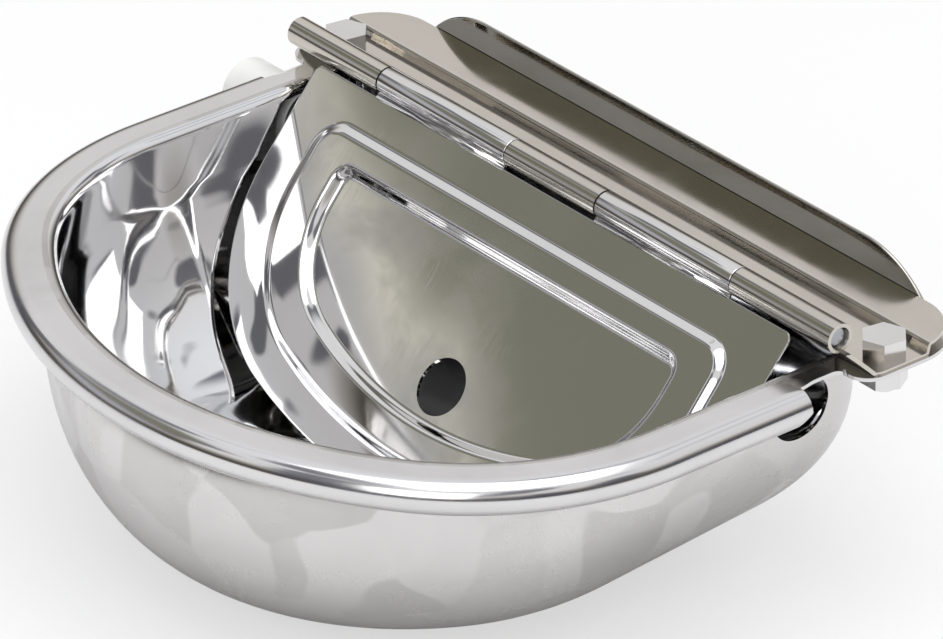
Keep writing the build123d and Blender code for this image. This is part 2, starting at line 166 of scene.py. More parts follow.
print("mesh helpers: grid_object, thicken, recalculate, cut, smooth_by_angle")

# %% [markdown]
# ## The D outline
# Bowl, rim and cover all follow one kind of outline: a long front arc, two side arcs, two straight sides
# and a rear with round corners. Each stretch gets its own share of the columns, so outlines of different
# size can be joined column by column like the hoops of a basket.

# %% D outline as an array
def arc(centre, radius, start, end, count):
    """Points on a circle from one angle to another: centre + radius (cos, sin). Angles in degrees."""
    angle = np.radians(np.linspace(start, end, count, endpoint=False))
    return np.stack([centre[0] + radius * np.cos(angle), centre[1] + radius * np.sin(angle)], -1)


def straight(start, end, count):
    """Points on a line, start + t (end - start), without the end point."""
    t = np.linspace(0, 1, count, endpoint=False)[:, None]
    return np.array(start) + t * (np.array(end) - np.array(start))


def front_arcs(half, reach, flat):
    """Side arc radius and centre offset, front arc radius and half angle in degrees. The front arc touches
    both side arcs, so its radius is (offset^2 + reach^2 - side^2) / (2 flat)."""
    side = reach - flat
    offset = half - side
    front = (offset**2 + reach**2 - side**2) / (2 * flat)
    return side, offset, front, degrees(atan2(offset, front - reach))


def d_outline(half, reach, flat, rear, corner, centre=BELLY_Y, counts=(40, 26, 14, 14, 40)):
    """Closed D from the front middle: half the front arc, side arc, side, rear corner, rear, and mirrored."""
    side, offset, front, turn = front_arcs(half, reach, flat)
    middle = (0, centre + front - reach)
    right = np.vstack([
        arc(middle, front, -90, -90 + turn, counts[0]),
        arc((offset, centre), side, -90 + turn, 0, counts[1]),
        straight((half, centre), (half, centre + rear - corner), counts[2]),
        arc((half - corner, centre + rear - corner), corner, 0, 90, counts[3]),
        straight((half - corner, centre + rear), (0, centre + rear), counts[4]),
        [[0, centre + rear]],
    ])
    return np.vstack([right, (right * [-1, 1])[-2:0:-1]])


print("D outline", len(d_outline(HALF_WIDTH, FRONT_REACH, FRONT_FLAT, REAR_REACH, REAR_CORNER)), "points")

# %% [markdown]
# ## The drawn bowl
# The blank is drawn down through the D. Under the rim the front swells out by more than a centimetre,
# while the sides and the rear lean in a little. From there the wall rounds over, in a long quarter
# ellipse, into a base that rises towards the wall it hangs on. The upper edge rolls outwards into the
# flat land of the rim.

# %% Bowl shell
def bowl_level(depth, inset, side, front, rear, swell=FRONT_SWELL):
    """The wall's outline at one depth, on a plane that tilts a little more with each level."""
    angle = BASE_TILT * (depth - WALL_TOP) / (BOWL_DEPTH - WALL_TOP)
    reach = FRONT_REACH - inset - front + swell
    corner = REAR_CORNER - inset + rear / 3
    flat = d_outline(HALF_WIDTH - inset - side, reach, FRONT_FLAT, REAR_REACH - inset - rear, corner)
    lift = flat[:, 1] - BELLY_Y
    return np.column_stack([flat[:, 0], BELLY_Y + lift * cos(angle), -depth + lift * sin(angle)])


def rim_level(out, z):
    """The outline moved outwards by `out`, at height z. Every arc keeps its centre, so this is exact."""
    flat = d_outline(HALF_WIDTH + out, FRONT_REACH + out, FRONT_FLAT, REAR_REACH + out, REAR_CORNER + out)
    return np.column_stack([flat, np.full(len(flat), z)])


def inner_levels():
    """Levels of the inner face: land edge, quarter round of the roll, drafted wall, ellipse, base."""
    levels = [rim_level(RIM_ROLL, RIM_Z)]
    for angle in np.radians(np.linspace(0, 90, 9)):
        out = RIM_ROLL - SHEET - RIM_ROLL * sin(angle)
        levels.append(rim_level(out, RIM_Z - RIM_ROLL * (1 - cos(angle))))
    for share in np.linspace(0, 1, 9)[1:-1]:
        swell = FRONT_SWELL * sin(share * pi / 2)
        depth = WALL_TOP + share * (WALL_END - WALL_TOP)
        levels.append(bowl_level(depth, SHEET + DRAFT * share, 0, 0, 0, swell))
    for angle in np.radians(np.linspace(0, 90, 25)):
        turn = 1 - cos(angle)
        depth = WALL_END + (ROUND_DEPTH - SHEET) * sin(angle)
        levels.append(bowl_level(depth, SHEET + DRAFT, *(share * turn for share in ROUNDS)))
    base = levels[-1]
    centre = base.mean(0)
    for share in (0.9, 0.75, 0.55, 0.3, 0.1):
        levels.append(centre + (base - centre) * share)
    return np.array(levels)


bowl_shell = thicken(grid_object("bowl_shell", inner_levels(), around=True, pole=True), SHEET)
print("bowl shell", len(bowl_shell.data.polygons), "faces")

# %% [markdown]
# ## Inlet holes
# A fitting can come in from either side, so both walls have a 22 mm hole. Cutting a real hole with a
# Boolean is simpler here than bending the grid round it, because the wall is nearly flat there.

# %% Inlet holes
INLET_Y = HINGE_Y - 4.3
INLET_Z = -28.2
HOLE_RADIUS = 11.0
CUT_INSIDE, CUT_OUTSIDE = 8, 2


def cylinder(name, start, end, radius, count=96):
    """Closed cylinder between two points in millimetres: centre line + radius (cos, sin) on two side axes."""
    start, end = Vector(start), Vector(end)
    axis = (end - start).normalized()
    side = axis.orthogonal().normalized()
    other = axis.cross(side)
    angle = np.linspace(0, 2 * pi, count, endpoint=False)
    round_ = np.outer(np.cos(angle), side) + np.outer(np.sin(angle), other)
    rings = np.array([np.array(start) + radius * round_, np.array(end) + radius * round_])
    mesh = bpy.data.meshes.new(name)
    index = np.arange(2 * count).reshape(2, count)
    turned = np.roll(index, -1, axis=1)
    faces = np.stack([index[0], turned[0], turned[1], index[1]], -1).tolist()
    ends = [index[0][::-1].tolist(), index[1].tolist()]
    mesh.from_pydata((rings.reshape(-1, 3) * MM).tolist(), [], faces + ends)
    return add_object(name, mesh)


for side in (-1, 1):
    reach = side * (HALF_WIDTH - CUT_INSIDE), side * (HALF_WIDTH + CUT_OUTSIDE)
    ends = [(x, INLET_Y, INLET_Z) for x in reach]
    cut(bowl_shell, cylinder("inlet_cutter", *ends, HOLE_RADIUS))
smooth_by_angle(bowl_shell)
print("two holes of", 2 * HOLE_RADIUS, "mm, bowl shell", len(bowl_shell.data.polygons), "faces")

# %% [markdown]
# ## Rim skirt
# Round the front the land turns down into a short skirt, which stiffens the bowl and gives the animal a
# smooth edge. The skirt stops short of the inlet, which leaves room for the fitting, and its lower corner
# is rounded there. It is a second grid, joined to nothing: the two sheets only have to meet at the land.

# %% Rim skirt
SKIRT_CORNER = 4.0


def front_run(out, end_y):
    """D outline moved outwards, from the left end at `end_y` round the front to the right end."""
    half = HALF_WIDTH + out
    reach = FRONT_REACH + out
    side, offset, front, turn = front_arcs(half, reach, FRONT_FLAT)
    plain = np.linspace(BELLY_Y, end_y - SKIRT_CORNER, 12, endpoint=False)
    rounded = end_y - SKIRT_CORNER * (1 - np.sin(np.linspace(0, pi / 2, 12)))
    straight_run = np.concatenate([plain, rounded])
    right = np.vstack([
        arc((0, BELLY_Y + front - reach), front, -90, -90 + turn, 60),
        arc((offset, BELLY_Y), side, -90 + turn, 0, 40),
        np.column_stack([np.full(len(straight_run), half), straight_run]),
    ])
    return np.vstack([(right * [-1, 1])[:0:-1], right])


def skirt_rows():
    """Outer face from the lower edge up over the bend to the land. The edge curls in by the lean, and rises
    in a quarter circle at both ends, height = corner - sqrt(corner^2 - distance^2)."""
    run_y = front_run(0, SKIRT_END_Y)[:, 1]
    short = np.clip(run_y - (SKIRT_END_Y - SKIRT_CORNER), 0, SKIRT_CORNER)
    lower = RIM_Z - SKIRT_HEIGHT + SKIRT_CORNER - np.sqrt(np.maximum(SKIRT_CORNER**2 - short**2, 0))
    bend_z = RIM_Z - SKIRT_ROLL
    edge = np.minimum(lower, bend_z)
    rows = []
    for share in np.linspace(0, 1, 5)[:-1]:
        z = edge + share * (bend_z - edge)
        rows.append(np.column_stack([front_run(RIM_LAND - SKIRT_LEAN * (1 - share)**2, SKIRT_END_Y), z]))
    for angle in np.radians(np.linspace(0, 90, 13)):
        out = RIM_LAND - SKIRT_ROLL * (1 - cos(angle))
        z = np.full(len(run_y), bend_z + SKIRT_ROLL * sin(angle))
        rows.append(np.column_stack([front_run(out, SKIRT_END_Y), z]))
    for share in (0.06, 0.5, 1.0):
        out = (RIM_LAND - SKIRT_ROLL) * (1 - share) + RIM_ROLL * share
        rows.append(np.column_stack([front_run(out, SKIRT_END_Y), np.full(len(run_y), RIM_Z)]))
    return np.array(rows)


rim_skirt = smooth_by_angle(thicken(grid_object("rim_skirt", skirt_rows()), SHEET), 40)
print("rim skirt", len(rim_skirt.data.polygons), "faces")

# %% [markdown]
# ## Rear flange
# Behind the rim the same sheet runs on as a flat flange with two ears for the bolts. Its inner edge is the
# bowl's roll and its outer edge is a chain of lines and arcs, so a grid between the two makes the plate.

# %% Rear flange
FLANGE_HALF = 142.2
NECK = 130.5
EAR_FRONT_Y = HINGE_Y + 1.5
NECK_END_Y = SKIRT_END_Y + 7
NECK_ROUND, EAR_ROUND, BACK_ROUND = 3, 8, 20
SIDE_POINTS, CORNER_POINTS = 34, 26


def flange_edge():
    """Right half of the flange's outer edge, from the end of the skirt to the middle of the rear. The neck
    eases in as neck + (start - neck) (1 + cos(pi t)) / 2."""
    t = np.linspace(0, 1, 10, endpoint=False)
    start_x = HALF_WIDTH + RIM_LAND - SKIRT_ROLL
    neck_x = NECK + (start_x - NECK) * (0.5 + 0.5 * np.cos(pi * t))
    return np.vstack([
        np.column_stack([neck_x, SKIRT_END_Y + (NECK_END_Y - SKIRT_END_Y) * t]),
        straight((NECK, NECK_END_Y), (NECK, EAR_FRONT_Y - NECK_ROUND), 6),
        arc((NECK + NECK_ROUND, EAR_FRONT_Y - NECK_ROUND), NECK_ROUND, 180, 90, 8),
        arc((FLANGE_HALF - EAR_ROUND, EAR_FRONT_Y + EAR_ROUND), EAR_ROUND, -90, 0, 12),
        straight((FLANGE_HALF, EAR_FRONT_Y + EAR_ROUND), (FLANGE_HALF, -BACK_ROUND), 8),
        arc((FLANGE_HALF - BACK_ROUND, -BACK_ROUND), BACK_ROUND, 0, 90, 16),
        straight((FLANGE_HALF - BACK_ROUND, 0), (0, 0), 40),
        [[0, 0]],
    ])


def flange_inner(count):
    """Right half of the roll's outer line behind the skirt, with the same number of points."""
    half = HALF_WIDTH + RIM_ROLL
    rear = REAR_Y + RIM_ROLL
    corner = REAR_CORNER + RIM_ROLL
    return np.vstack([
        straight((half, SKIRT_END_Y), (half, rear - corner), SIDE_POINTS),
        arc((half - corner, rear - corner), corner, 0, 90, CORNER_POINTS),
        straight((half - corner, rear), (0, rear), count - SIDE_POINTS - CORNER_POINTS - 1),
        [[0, rear]],
    ])


def flange_rows():
    """Plane grid between the two edges: inner + t (outer - inner), mirrored to the left."""
    outer = flange_edge()
    inner = flange_inner(len(outer))
    rows = []
    for share in np.linspace(1, 0, 5):
        right = inner + share * (outer - inner)
        both = np.vstack([right, (right * [-1, 1])[-2::-1]])
        rows.append(np.column_stack([both, np.full(len(both), RIM_Z)]))
    return np.array(rows)


flange = smooth_by_angle(thicken(grid_object("rear_flange", flange_rows()), SHEET))
print("flange", len(flange.data.polygons), "faces")

# %% [markdown]
# ## Wall lip
# The rear of the flange turns up against the wall. Its cross-section is worked out once per column: a foot
# radius, the front face, a softened top edge and the flat back, while its height follows a big arc at
# both ends.

# %% Wall lip
LIP_HEIGHT = 15.0
LIP_FLAT = 92.0
LIP_ARC = 37.0
LIP_FOOT = 1.8
ROUND_POINTS = 7


def lip_grid():
    """Rows of cross-sections along X; height = arc centre + sqrt(radius^2 - (|x| - flat)^2)."""
    end = LIP_FLAT + sqrt(LIP_ARC**2 - (LIP_ARC - LIP_HEIGHT)**2)
    x = end * np.sin(np.linspace(-pi / 2, pi / 2, 121))
    past = np.clip(np.abs(x) - LIP_FLAT, 0, None)
    top = RIM_Z + LIP_HEIGHT - LIP_ARC + np.sqrt(LIP_ARC**2 - past**2)
    height = np.clip(top - RIM_Z, 0, None)
    foot = np.radians(np.linspace(0, 90, ROUND_POINTS))
    foot_y = -SHEET - LIP_FOOT + LIP_FOOT * np.sin(foot)
    foot_z = LIP_FOOT * (1 - np.cos(foot))
    crown = np.radians(np.linspace(180, 0, ROUND_POINTS))
    crown_y = -SHEET / 2 + SHEET / 2 * np.cos(crown)
    crown_z = SHEET / 2 * (np.sin(crown) - 1)
    y = np.concatenate([foot_y, crown_y, [0]])
    rise = np.concatenate([foot_z / LIP_HEIGHT, np.ones(ROUND_POINTS), [0]])
    drop = np.concatenate([np.zeros(ROUND_POINTS), crown_z, [-SHEET]])
    z = RIM_Z + rise[None, :] * height[:, None] + drop[None, :]
    rows = np.stack([np.repeat(x[:, None], len(y), 1), np.repeat(y[None, :], len(x), 0), z], -1)
    return rows[::-1]


wall_lip = smooth_by_angle(grid_object("wall_lip", lip_grid(), around=True), 40)
print("wall lip", len(wall_lip.data.polygons), "faces")

# %% [markdown]
# ## The pressed cover
# The cover is one flat plate with two stages pressed into it: a raised field, and in that field a shallow
# pan with the level hole. Each stage is a pair of hoops, foot and crown, and the height eases from one to
# the other, as a sheet does when it is drawn over a rounded die. Each stage has a half width, the places
# of its lower and upper edge down the slope, and the radius of its upper corners.

# %% Cover plate
SLOPE = radians(49.5)
PLATE_HALF = HALF_WIDTH - 4.8
STAGES = {
    "plate": (PLATE_HALF, 113.0, 6.0, 3.0),
    "field": (PLATE_HALF - 15.2, 103.0, 17.6, 12.0),
    "pan": (PLATE_HALF - 31.8, 89.6, 28.6, 7.0),
}
COVER_FLAT, BELLY_V, PAN_MIDDLE_V = 8.0, 41.5, 58.0
COVER_POINTS = (36, 30, 10, 14, 60)
LEAST_CORNER = 0.4
FIELD_RISE, FIELD_WALL = 1.8, 4.6
PAN_DEPTH, PAN_WALL = 3.2, 3.8
LEVEL_V, LEVEL_RADIUS = 74.3, 9.6


def on_cover(x, v, w):
    """From the cover's own plane to the frame: v runs down the slope from the hinge axis, w stands off it."""
    return np.stack([x, HINGE_Y - v * cos(SLOPE) - w * sin(SLOPE), -v * sin(SLOPE) + w * cos(SLOPE)], -1)


def hoop(stage, inset, w):
    """Outline of a stage, moved inwards by `inset`, at height w above the cover plane."""
    half, bottom, top, corner = STAGES[stage]
    line = d_outline(half - inset, bottom - BELLY_V - inset, COVER_FLAT, BELLY_V - top - inset,
                     max(corner - inset, LEAST_CORNER), centre=-BELLY_V, counts=COVER_POINTS)
    return on_cover(line[:, 0], -line[:, 1], np.full(len(line), w))


def eased(stage, width, low, high, count=13):
    """Hoops across a pressed wall: inset t * width, height low + (high - low) (3 t^2 - 2 t^3). One more hoop
    on each side, 0.4 mm away and level, keeps the flats beside the wall flat in their shading."""
    wall = []
    for t in np.linspace(0, 1, count):
        wall.append(hoop(stage, t * width, low + (high - low) * (3 * t**2 - 2 * t**3)))
    return [hoop(stage, -0.4, low)] + wall + [hoop(stage, width + 0.4, high)]


def between(first, second):
    """Two hoops at a third and two thirds of the way: (1 - t) first + t second."""
    return [(1 - t) * first + t * second for t in (0.33, 0.66)]


def cover_rows():
    """All hoops from the plate's edge to the middle of the pan."""
    edge = ((0, SHEET - 0.35), (0.1, SHEET - 0.1), (0.35, SHEET), (0.7, SHEET))
    rows = [hoop("plate", inset, height) for inset, height in edge]
    rows += between(hoop("plate", 0.7, SHEET), hoop("field", -1.4, SHEET))
    high = SHEET + FIELD_RISE
    rows += eased("field", FIELD_WALL, SHEET, high)
    rows += between(hoop("field", FIELD_WALL, high), hoop("pan", -0.8, high))
    rows += eased("pan", PAN_WALL, high, high - PAN_DEPTH)
    last = rows[-1]
    middle = on_cover(np.zeros(1), np.full(1, PAN_MIDDLE_V), np.full(1, high - PAN_DEPTH))
    rows += [middle + (last - middle) * t for t in (0.85, 0.6, 0.3)]
    return np.array(rows)


cover_plate = thicken(grid_object("cover_plate", cover_rows(), around=True, pole=True), SHEET)
hole_line = on_cover(np.zeros(2), np.full(2, LEVEL_V), np.array([-8.0, 8.0]))
cut(cover_plate, cylinder("level_cutter", hole_line[0], hole_line[1], LEVEL_RADIUS))
smooth_by_angle(cover_plate, 35)
print("cover", len(cover_plate.data.polygons), "faces")

# %% [markdown]
# ## Cover knuckles
# Two tongues of the plate curl round the hinge pin. Each is a flat tongue that runs into a tube, with a
# softened edge where the tube ends against its neighbour.

# %% Cover knuckles
SEAM_INNER, SEAM_OUTER, KNUCKLE_GAP = 21.8, 86.6, 0.5
BORE_RADIUS, KNUCKLE_RADIUS = 3.6, 4.8
TONGUE_V = np.array([6.6, 5.4, 4.2])


def tube_along_x(name, start, end, inner, outer, soft=0.3):
    """Tube on the hinge axis: a closed wall profile (x, radius) with rounded mouths, turned about X."""
    turn = np.radians([180, 150, 120, 90])
    mouth_x = start + soft + soft * np.cos(turn)
    mouth_r = outer - soft + soft * np.sin(turn)
    profile_x = np.concatenate([[start], mouth_x, (start + end) - mouth_x[::-1], [end]])
    profile_r = np.concatenate([[inner], mouth_r, mouth_r[::-1], [inner]])
    angle = np.linspace(0, 2 * pi, 72, endpoint=False)
    x = np.repeat(profile_x[:, None], len(angle), 1)
    y = HINGE_Y + profile_r[:, None] * np.cos(angle)
    z = profile_r[:, None] * np.sin(angle)
    grid = np.stack([x, y, z], -1)
    piece = grid_object(name, np.concatenate([grid, grid[:1]]), around=True)
    return smooth_by_angle(recalculate(piece), 35)


cover_knuckles = []
for side in (-1, 1):
    ends = sorted((side * (SEAM_INNER + KNUCKLE_GAP), side * (SEAM_OUTER - KNUCKLE_GAP)))
    label = "left" if side < 0 else "right"
    cover_knuckles.append(tube_along_x(f"cover_knuckle_{label}", *ends, BORE_RADIUS, KNUCKLE_RADIUS))
    x, v = np.meshgrid(ends, TONGUE_V)
    tongue = on_cover(x, v, np.full(x.shape, SHEET))
    cover_knuckles.append(thicken(grid_object(f"cover_tongue_{label}", tongue), SHEET))
print("cover knuckles and tongues", [piece.name for piece in cover_knuckles])

# %% [markdown]
# ## Riding and replacing
# The new sheets stand for their CAD nodes, which stay in the physics model. Everything drawn from the bowl
# blank rides on the bowl, and the cover's plate and knuckles swing with the cover. A ride
# keeps a mesh in place and lets its body's joint move it. Keyframes would have to repeat what the joints say.

# %% Riding and replacing
bowl_pieces = [bowl_shell, rim_skirt, flange, wall_lip]
for piece in bowl_pieces:
    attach(piece, "bowl")
    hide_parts("bowl")
for piece in [cover_plate] + cover_knuckles:
    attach(piece, "cover")
    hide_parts("cover")
print(len(bowl_pieces), "pieces ride on the bowl,", 1 + len(cover_knuckles), "on the cover")

# %% [markdown]
# ## Polished steel
# Polished stainless is a plain mirror whose picture wobbles: the sheet is never quite flat after drawing,
# and handling leaves hairline scratches and a faint haze. Three small groups make these once: broad dents,
# hairlines and haze, and a fourth makes brighter patches, which are painted reflections on the outside of
# the bowl. Each finish mixes them in its own amounts. Painted maps could do it too, but noise on the piece's
# own coordinates needs no unwrapping and has no seams.

# %% Node helpers
def new_group(name, inputs, output):
    """Node group with named float inputs (name, default) and one named float output."""
    group = bpy.data.node_groups.new(name, "ShaderNodeTree")
    for label, value in inputs:
        socket = group.interface.new_socket(label, in_out="INPUT", socket_type="NodeSocketFloat")
        socket.default_value = value
    group.interface.new_socket(output, in_out="OUTPUT", socket_type="NodeSocketFloat")
    given = group.nodes.new("NodeGroupInput").outputs
    return group, given, group.nodes.new("NodeGroupOutput").inputs[output]


def add_node(tree, kind, settings=None, **inputs):
    """New node with attributes from `settings`. An input is named, or i and its number, and takes a value
    or a socket to link from."""
    node = tree.nodes.new(kind)
    for key, value in (settings or {}).items():
        setattr(node, key, value)
    for key, value in inputs.items():
        socket = node.inputs[int(key[1:])] if key[1:].isdigit() else node.inputs[key]
        if isinstance(value, bpy.types.NodeSocket):
            tree.links.new(value, socket)
        else:
            socket.default_value = value
    return node


def place_group(tree, group, **inputs):
    """The group as a node in a material, with its inputs set."""
    return add_node(tree, "ShaderNodeGroup", {"node_tree": group}, **inputs)


def object_place(tree):
    """The point's place in the piece's own metres."""
    return add_node(tree, "ShaderNodeTexCoord").outputs["Object"]


def noise(tree, place, scale, detail, **more):
    """Soft noise from 0 to 1 around 0.5."""
    return add_node(tree, "ShaderNodeTexNoise", Vector=place, Scale=scale, Detail=detail, **more).outputs["Fac"]


def maths(tree, operation, *values):
    """One sum on sockets or numbers."""
    numbered = {f"i{place}": value for place, value in enumerate(values)}
    return add_node(tree, "ShaderNodeMath", {"operation": operation}, **numbered).outputs[0]


def remap(tree, value, low, high, first=0.0, last=1.0, kind="LINEAR"):
    """`first` to `last` while the value goes from `low` to `high`, and held beyond."""
    settings = {"interpolation_type": kind}
    node = add_node(tree, "ShaderNodeMapRange", settings, i0=value, i1=low, i2=high, i3=first, i4=last)
    return node.outputs[0]


def mix_colour(tree, factor, first, second):
    """From the first to the second by the factor. Each is a plain colour or a socket."""
    node = add_node(tree, "ShaderNodeMix", {"data_type": "RGBA"}, Factor=factor)
    for socket, value in ((node.inputs[6], first), (node.inputs[7], second)):
        if isinstance(value, bpy.types.NodeSocket):
            tree.links.new(value, socket)
        else:
            socket.default_value = (*value, 1)
    return node.outputs[2]


print("node helpers: groups, noise, maths, remap, mix_colour")


# %% Shared effects
def dents_group():
    """Height of broad shallow dents: two sizes of soft noise added, drawn out along the depth of the bowl."""
    group, given, height = new_group("sheet_dents", [("Scale", 20.0)], "Height")
    drawn = add_node(group, "ShaderNodeMapping", Vector=object_place(group), Scale=(1.0, 1.0, 0.45))
    broad = noise(group, drawn.outputs[0], given["Scale"], 0.0)
    small = noise(group, drawn.outputs[0], maths(group, "MULTIPLY", given["Scale"], 2.7), 0.0)
    total = maths(group, "ADD", broad, maths(group, "MULTIPLY", small, 0.14))
    group.links.new(total, height)
    return group


def hairlines_group():
    """Mask of thin scratches: noise stretched in two directions, kept near its middle value and in patches."""
    group, given, mask = new_group("hairlines", [("Scale", 300.0), ("Amount", 0.5)], "Mask")
    place = object_place(group)
    thin = []
    for angle in ((0.3, 0.5, 0.4), (1.2, -0.4, 2.1)):
        turned = add_node(group, "ShaderNodeMapping", Vector=place, Rotation=angle, Scale=(1.0, 0.03, 0.05))
        lines = noise(group, turned.outputs[0], given["Scale"], 2.0)
        away = maths(group, "ABSOLUTE", maths(group, "SUBTRACT", lines, 0.5))
        thin.append(remap(group, away, 0.0, 0.012, 1.0, 0.0))
    where = remap(group, noise(group, place, 30.0, 2.0), 0.48, 0.62)
    kept = maths(group, "MULTIPLY", maths(group, "MAXIMUM", *thin), where)
    group.links.new(maths(group, "MULTIPLY", kept, given["Amount"]), mask)
    return group


def haze_group():
    """Slow mask of smears and water marks: layered noise stretched to soft patches, from 0 to 1."""
    group, given, mask = new_group("haze", [("Scale", 14.0)], "Mask")
    cloud = noise(group, object_place(group), given["Scale"], 5.0, Roughness=0.6, Distortion=0.6)
    group.links.new(remap(group, cloud, 0.42, 0.7), mask)
    return group


def painted_reflections_group():
    """Mask of brighter patches, which are painted reflections: cells of a bent pattern, each with its own
    value, faded out near the base.
    """
    group, given, mask = new_group("patches", [("Scale", 34.0)], "Mask")
    place = object_place(group)
    bend = add_node(group, "ShaderNodeTexNoise", Vector=place, Scale=22.0, Detail=1.0)
    shift = add_node(group, "ShaderNodeVectorMath", {"operation": "SCALE"}, i0=bend.outputs["Color"], i3=0.03)
    moved = add_node(group, "ShaderNodeVectorMath", {"operation": "ADD"}, i0=place, i1=shift.outputs[0])
    cells = add_node(group, "ShaderNodeTexVoronoi", {"feature": "SMOOTH_F1"}, Vector=moved.outputs[0],
                     Scale=given["Scale"], Smoothness=0.12)
    level = add_node(group, "ShaderNodeRGBToBW", Color=cells.outputs["Color"]).outputs[0]
    axes = add_node(group, "ShaderNodeSeparateXYZ", Vector=place)
    fade = remap(group, axes.outputs["Z"], -0.082, -0.06)
    group.links.new(maths(group, "MULTIPLY", remap(group, level, 0.38, 0.68), fade), mask)
    return group


DENTS, HAIRLINES, HAZE, PAINTED_REFLECTIONS = dents_group(), hairlines_group(), haze_group(), painted_reflections_group()
print("groups", [group.name for group in (DENTS, HAIRLINES, HAZE, PAINTED_REFLECTIONS)])

# %% [markdown]
# ## Steel finishes
# One function makes every steel: its colour, how rough it is when clean and where it is hazy, how deep the
# dents are and how strong the hairlines. The cover is the flattest mirror, the bowl wobbles most, and the
# outside of the bowl is duller than the inside, with a darker colour that is partly painted shade.

# %% Steel
FADE_HEIGHT = 0.015
# Colour of the painted reflections that brighten spots on the outside of the bowl.
PAINTED_REFLECTION_COLOUR = (0.82, 0.81, 0.8)


def new_material(name):
    """Material with a Principled BSDF, its node tree and that shader's inputs."""
    material = bpy.data.materials.new(name)
    material.use_nodes = True
    return material, material.node_tree, material.node_tree.nodes["Principled BSDF"].inputs


def shaded(colour, share):
    """The colour darkened to a share of itself."""
    return tuple(share * value for value in colour)


def steel(name, colour, clean, hazy, dent_scale=22.0, dent_depth=0.0004, scratch=0.4, grain=0.0,
          calm_above=None, shade=0.93, patches=0.0):
    """Metal whose roughness goes from `clean` to `hazy` with the haze and hairline masks. Haze tints it by
    `shade`,
    `patches` brightens spots as painted reflections, and above the height `calm_above` the dents are gone."""
    material, tree, shader = new_material(name)
    shader["Metallic"].default_value = 1.0
    haze = place_group(tree, HAZE).outputs["Mask"]
    lines = place_group(tree, HAIRLINES, Amount=scratch).outputs["Mask"]
    rough = remap(tree, maths(tree, "MAXIMUM", haze, lines), 0.0, 1.0, clean, hazy)
    tree.links.new(rough, shader["Roughness"])
    tint = mix_colour(tree, haze, colour, shaded(colour, shade))
    # Painted reflections: brighter spots mixed into the base colour.
    if patches:
        share = maths(tree, "MULTIPLY", place_group(tree, PAINTED_REFLECTIONS).outputs["Mask"], patches)
        tint = mix_colour(tree, share, tint, PAINTED_REFLECTION_COLOUR)
    tree.links.new(tint, shader["Base Color"])
    dents = place_group(tree, DENTS, Scale=dent_scale).outputs["Height"]
    bump = add_node(tree, "ShaderNodeBump", Strength=1.0, Distance=dent_depth, Height=dents)
    if calm_above is not None:
        axes = add_node(tree, "ShaderNodeSeparateXYZ", Vector=object_place(tree))
        fade = remap(tree, axes.outputs["Z"], calm_above - FADE_HEIGHT, calm_above, 1.0, 0.0)
        tree.links.new(fade, bump.inputs["Strength"])
    last = add_node(tree, "ShaderNodeBump", Strength=0.1, Distance=0.000005, Height=lines,
                    Normal=bump.outputs[0])
    if grain:
        along = add_node(tree, "ShaderNodeMapping", Vector=object_place(tree), Scale=(0.01, 1.0, 1.0))
        brushed = noise(tree, along.outputs[0], 2500.0, 2.0)
        last = add_node(tree, "ShaderNodeBump", Strength=grain, Distance=0.00001, Height=brushed,
                        Normal=last.outputs[0])
    tree.links.new(last.outputs[0], shader["Normal"])
    return material


bowl_steel = steel("bowl_steel", (0.72, 0.72, 0.73), 0.05, 0.11, dent_scale=19.0, dent_depth=0.005,
                   scratch=0.35, calm_above=-0.014)
# Outside of the bowl: rougher than the inside, its darker colour partly painted shade, and its brighter patches
# painted reflections.
outer_steel = steel("bowl_outside", (0.58, 0.565, 0.555), 0.24, 0.36, dent_scale=26.0, dent_depth=0.0012,
                    scratch=1.0, calm_above=-0.014, shade=0.88, patches=0.45)
rim_steel = steel("rim_steel", (0.69, 0.68, 0.68), 0.12, 0.24, dent_scale=16.0, scratch=0.7)
lip_steel = steel("lip_steel", (0.52, 0.50, 0.46), 0.05, 0.12, dent_scale=16.0, dent_depth=0.0016, scratch=0.5)
cover_steel = steel("cover_steel", (0.68, 0.67, 0.66), 0.04, 0.1, dent_scale=9.0, dent_depth=0.0003,
                    scratch=0.5)
bracket_steel = steel("bracket_steel", (0.58, 0.545, 0.49), 0.1, 0.22, dent_scale=14.0, dent_depth=0.0003,
                      scratch=0.6, grain=0.15)
pin_steel = steel("pin_steel", (0.42, 0.44, 0.47), 0.25, 0.35, dent_depth=0.00005)
fastener_steel = steel("fastener_steel", (0.72, 0.71, 0.70), 0.14, 0.3, dent_scale=60.0, dent_depth=0.0001)
steels = (bowl_steel, outer_steel, rim_steel, lip_steel, cover_steel, bracket_steel, pin_steel, fastener_steel)
print("steels", [material.name for material in steels])

# %% [markdown]
# ## Plastic, rubber and brass
# The float valve is moulded in white plastic that has picked up a little grime in its pores. Its seals are
# matt black rubber and its seat and screw are turned brass.

# %% Moulded and turned parts
def moulded(name, colour, rough):
    """Plain plastic or rubber: fine pores in the normal, haze in colour and roughness."""
    material, tree, shader = new_material(name)
    haze = place_group(tree, HAZE, Scale=40.0).outputs["Mask"]
    tree.links.new(mix_colour(tree, haze, colour, shaded(colour, 0.88)), shader["Base Color"])
    tree.links.new(remap(tree, haze, 0.0, 1.0, rough, rough + 0.15), shader["Roughness"])
    pores = noise(tree, object_place(tree), 900.0, 2.0)
    bump = add_node(tree, "ShaderNodeBump", Strength=0.5, Distance=0.00004, Height=pores)
    tree.links.new(bump.outputs[0], shader["Normal"])
    return material


